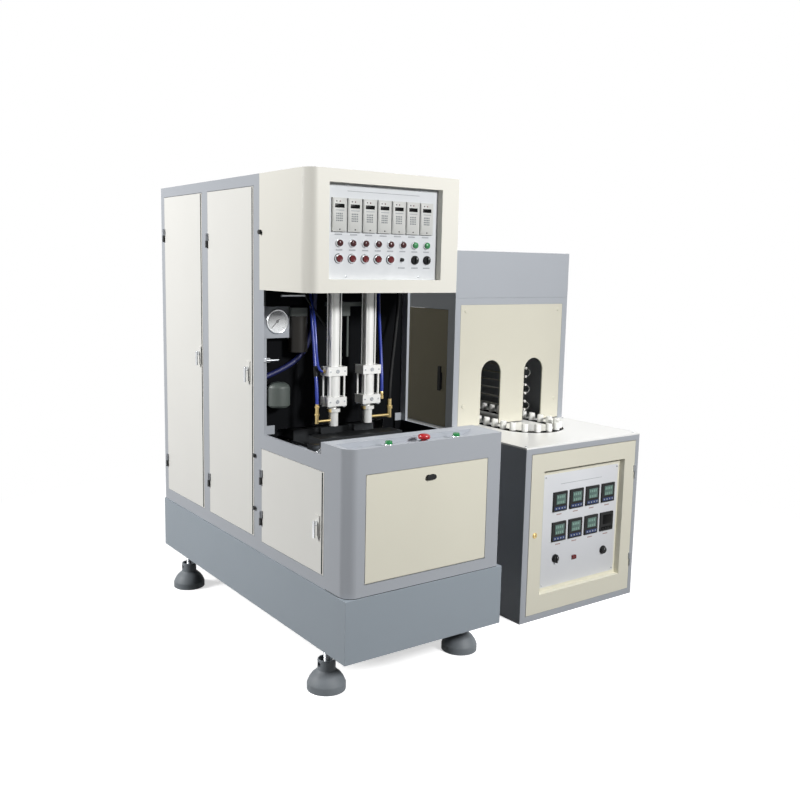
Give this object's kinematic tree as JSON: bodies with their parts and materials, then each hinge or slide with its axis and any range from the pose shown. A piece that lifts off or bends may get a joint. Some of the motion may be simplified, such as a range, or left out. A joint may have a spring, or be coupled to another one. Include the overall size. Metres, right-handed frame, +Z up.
{
  "type": "blow_moulding_machine",
  "caption": "semi-automatic stretch blow moulding machine with instrument head, open mould bay, console and tall rear cabinet, with its preform heating oven beside it",
  "frame": {"origin": "on the floor, under the middle of the whole set", "axes": "+X to the operator's right, +Y from the console to the rear cabinet, +Z up"},
  "size_m": [1.837, 1.66, 1.9],
  "materials": {
    "dark_paint": "satin grey enamel on sheet steel",
    "grey_paint": "satin grey enamel on sheet steel",
    "cream_paint": "satin cream enamel on sheet steel",
    "white_plate": "matt white enamel",
    "black_paint": "black enamel",
    "foot_iron": "painted cast iron",
    "bright_steel": "ground steel",
    "stainless": "brushed stainless sheet",
    "hard_chrome": "hard chromed steel",
    "mould_aluminium": "machined aluminium",
    "cylinder_aluminium": "anodised aluminium",
    "white_plastic": "moulded plastic",
    "black_plastic": "moulded plastic",
    "red_plastic": "gloss moulded plastic",
    "green_plastic": "gloss moulded plastic",
    "blue_hose": "smooth pneumatic tube",
    "lamp_ceramic": "white ceramic and quartz"
  },
  "bodies": {
    "machine": {"base_plinth": "dark_paint", "foot_pads": "foot_iron", "foot_studs": "bright_steel", "cabinet_frame": "grey_paint", "cabinet_panels": "cream_paint", "bay_frame": "grey_paint", "console_shell": "grey_paint", "head_cover": "cream_paint", "instrument_plate": "white_plate", "timer_modules": "white_plastic", "pilot_lamps": "red_plastic", "control_bezels": "black_plastic", "hinge_pins": "black_paint", "front_mould_half": "mould_aluminium", "fixed_platens": "bright_steel", "tie_bars": "hard_chrome", "clamp_cylinder": "cylinder_aluminium", "cylinder_beam": "bright_steel", "blow_cylinders": "cylinder_aluminium", "air_panel": "grey_paint", "pressure_gauge": "black_paint", "air_hoses": "blue_hose", "heater_body": "cream_paint", "heater_table": "stainless", "oven_shell": "grey_paint", "oven_front_panel": "cream_paint", "carrier_loop": "white_plastic", "oven_lamps": "lamp_ceramic"},
    "clamp": {"moving_platen": "bright_steel", "rear_mould_half": "mould_aluminium"},
    "nozzle_left": {"blow_nozzle_left": "white_plastic"},
    "nozzle_right": {"blow_nozzle_right": "white_plastic"},
    "stretch_left": {"stretch_rod_left": "hard_chrome"},
    "stretch_right": {"stretch_rod_right": "hard_chrome"},
    "needle": {"gauge_needle": "black_paint"},
    "door_rear": {"rear_door": "cream_paint"},
    "door_front": {"front_cabinet_door": "cream_paint"},
    "door_low": {"low_side_door": "cream_paint"},
    "door_console": {"console_door": "cream_paint"},
    "lock_rear": {"rear_lock": "black_plastic"},
    "lock_front": {"front_lock": "black_plastic"},
    "lock_low": {"low_lock": "black_plastic"},
    "lock_console": {"console_lock": "black_plastic"},
    "button_1": {"push_button_1": "red_plastic"},
    "button_2": {"push_button_2": "red_plastic"},
    "button_3": {"push_button_3": "red_plastic"},
    "button_4": {"push_button_4": "red_plastic"},
    "button_5": {"push_button_5": "red_plastic"},
    "select_1": {"selector_1": "black_plastic"},
    "select_2": {"selector_2": "black_plastic"},
    "start_left": {"start_button_left": "green_plastic"},
    "start_right": {"start_button_right": "green_plastic"},
    "stop": {"emergency_stop": "red_plastic"},
    "door_heater": {"heater_door": "cream_paint", "controllers": "black_plastic"},
    "lock_heater": {"heater_lock": "black_plastic"},
    "door_oven": {"oven_side_door": "grey_paint"},
    "knob_heater": {"heater_knob": "black_plastic"},
    "switch_heater": {"heater_switch": "black_plastic"},
    "rocker_heater": {"heater_rocker": "red_plastic"}
  },
  "joints": [
    {"name": "mould_close", "type": "slide", "parent": "machine", "child": "clamp", "axis": [0, -1, 0], "range_m": [0, 0.1195]},
    {"name": "seal_left", "type": "slide", "parent": "machine", "child": "nozzle_left", "axis": [0, 0, -1], "range_m": [0, 0.029]},
    {"name": "seal_right", "type": "slide", "parent": "machine", "child": "nozzle_right", "axis": [0, 0, -1], "range_m": [0, 0.029]},
    {"name": "stretch_left_down", "type": "slide", "parent": "machine", "child": "stretch_left", "axis": [0, 0, -1], "range_m": [0, 0.26]},
    {"name": "stretch_right_down", "type": "slide", "parent": "machine", "child": "stretch_right", "axis": [0, 0, -1], "range_m": [0, 0.26]},
    {"name": "gauge_turn", "type": "hinge", "parent": "machine", "child": "needle", "pos_m": [-0.8275, -0.213, 1.337], "axis": [0, 1, 0], "range_deg": [0, 270]},
    {"name": "rear_door_swing", "type": "hinge", "parent": "machine", "child": "door_rear", "pos_m": [-0.8905, 0.794, 1.156], "axis": [0, 0, -1], "range_deg": [0, 110]},
    {"name": "front_door_swing", "type": "hinge", "parent": "machine", "child": "door_front", "pos_m": [-0.8905, 0.309, 1.156], "axis": [0, 0, -1], "range_deg": [0, 110]},
    {"name": "low_door_swing", "type": "hinge", "parent": "machine", "child": "door_low", "pos_m": [-0.8905, -0.186, 0.64], "axis": [0, 0, -1], "range_deg": [0, 110]},
    {"name": "console_door_drop", "type": "hinge", "parent": "machine", "child": "door_console", "pos_m": [-0.5275, -0.808, 0.453], "axis": [1, 0, 0], "range_deg": [0, 90]},
    {"name": "rear_lock_turn", "type": "hinge", "parent": "door_rear", "child": "lock_rear", "pos_m": [-0.8845, 0.401, 1.16], "axis": [-1, 0, 0], "range_deg": [0, 90]},
    {"name": "front_lock_turn", "type": "hinge", "parent": "door_front", "child": "lock_front", "pos_m": [-0.8845, -0.074, 1.14], "axis": [-1, 0, 0], "range_deg": [0, 90]},
    {"name": "low_lock_turn", "type": "hinge", "parent": "door_low", "child": "lock_low", "pos_m": [-0.8845, -0.621, 0.637], "axis": [-1, 0, 0], "range_deg": [0, 90]},
    {"name": "console_lock_turn", "type": "hinge", "parent": "door_console", "child": "lock_console", "pos_m": [-0.5235, -0.814, 0.803], "axis": [0, 1, 0], "range_deg": [0, 90]},
    {"name": "button_1_press", "type": "slide", "parent": "machine", "child": "button_1", "axis": [0, 1, 0], "range_m": [0, 0.0035], "stiffness_N_per_m": 400, "springref_m": -0.004},
    {"name": "button_2_press", "type": "slide", "parent": "machine", "child": "button_2", "axis": [0, 1, 0], "range_m": [0, 0.0035], "stiffness_N_per_m": 400, "springref_m": -0.004},
    {"name": "button_3_press", "type": "slide", "parent": "machine", "child": "button_3", "axis": [0, 1, 0], "range_m": [0, 0.0035], "stiffness_N_per_m": 400, "springref_m": -0.004},
    {"name": "button_4_press", "type": "slide", "parent": "machine", "child": "button_4", "axis": [0, 1, 0], "range_m": [0, 0.0035], "stiffness_N_per_m": 400, "springref_m": -0.004},
    {"name": "button_5_press", "type": "slide", "parent": "machine", "child": "button_5", "axis": [0, 1, 0], "range_m": [0, 0.0035], "stiffness_N_per_m": 400, "springref_m": -0.004},
    {"name": "select_1_turn", "type": "hinge", "parent": "machine", "child": "select_1", "pos_m": [-0.3865, -0.506, 1.583], "axis": [0, 1, 0], "range_deg": [-45, 45]},
    {"name": "select_2_turn", "type": "hinge", "parent": "machine", "child": "select_2", "pos_m": [-0.3285, -0.506, 1.583], "axis": [0, 1, 0], "range_deg": [-45, 45]},
    {"name": "start_left_press", "type": "slide", "parent": "machine", "child": "start_left", "axis": [0, 0, -1], "range_m": [0, 0.004], "stiffness_N_per_m": 400, "springref_m": -0.004},
    {"name": "start_right_press", "type": "slide", "parent": "machine", "child": "start_right", "axis": [0, 0, -1], "range_m": [0, 0.004], "stiffness_N_per_m": 400, "springref_m": -0.004},
    {"name": "stop_press", "type": "slide", "parent": "machine", "child": "stop", "axis": [0, 0, -1], "range_m": [0, 0.005], "stiffness_N_per_m": 400, "springref_m": -0.004},
    {"name": "heater_door_swing", "type": "hinge", "parent": "machine", "child": "door_heater", "pos_m": [0.8955, -0.593, 0.395], "axis": [0, 0, 1], "range_deg": [0, 110]},
    {"name": "heater_lock_turn", "type": "hinge", "parent": "door_heater", "child": "lock_heater", "pos_m": [0.2495, -0.587, 0.396], "axis": [0, 1, 0], "range_deg": [0, 90]},
    {"name": "oven_door_swing", "type": "hinge", "parent": "machine", "child": "door_oven", "pos_m": [0.1735, 0.773, 1.079], "axis": [0, 0, -1], "range_deg": [0, 25]},
    {"name": "heater_knob_turn", "type": "hinge", "parent": "door_heater", "child": "knob_heater", "pos_m": [0.7315, -0.557, 0.243], "axis": [0, 1, 0], "range_deg": [0, 270]},
    {"name": "heater_switch_turn", "type": "hinge", "parent": "door_heater", "child": "switch_heater", "pos_m": [0.4115, -0.557, 0.257], "axis": [0, 1, 0], "range_deg": [0, 90]},
    {"name": "heater_rocker_tilt", "type": "hinge", "parent": "door_heater", "child": "rocker_heater", "pos_m": [0.5345, -0.557, 0.241], "axis": [1, 0, 0], "range_deg": [-12, 12]}
  ],
  "couplings": [
    {"joint": "seal_right", "follows": "seal_left", "ratio": 1},
    {"joint": "stretch_right_down", "follows": "stretch_left_down", "ratio": 1}
  ]
}
